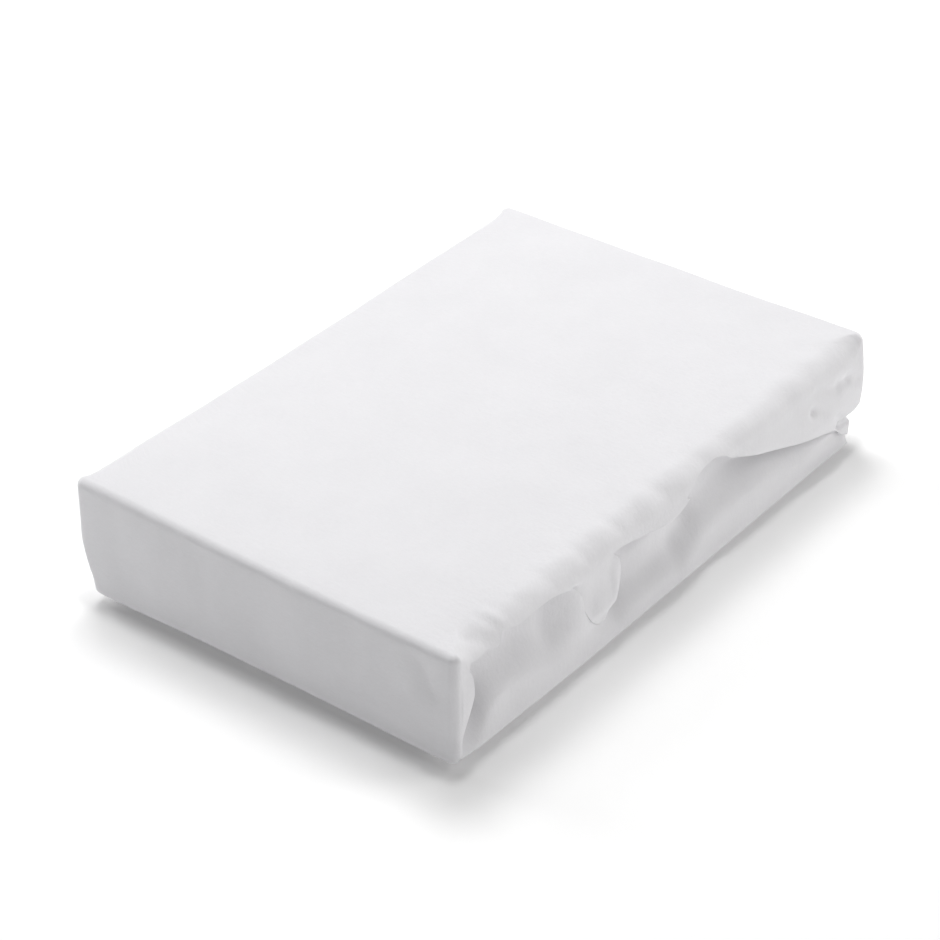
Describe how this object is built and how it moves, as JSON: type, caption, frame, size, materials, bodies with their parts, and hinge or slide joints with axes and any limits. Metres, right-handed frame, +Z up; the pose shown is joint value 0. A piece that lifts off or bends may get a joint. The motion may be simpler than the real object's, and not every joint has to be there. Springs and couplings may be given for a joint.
{
  "type": "folded mattress protector",
  "caption": "Fitted mattress protector of brushed cotton, folded back and forth into a flat packet that rests on its folded underside.",
  "frame": {"origin": "centre of the packet's footprint, on the surface that it lies on", "axes": "+X along the long side from the smooth front fold to the back, +Y across from the open side with the wavy hem to the far side, +Z up"},
  "size_m": [0.3662, 0.243, 0.0725],
  "materials": {
    "brushed_cotton": "white brushed cotton with a short soft nap, matt, with a faint sheen at grazing angles"
  },
  "bodies": {
    "root": {"folded_protector": "brushed_cotton"}
  },
  "joints": []
}
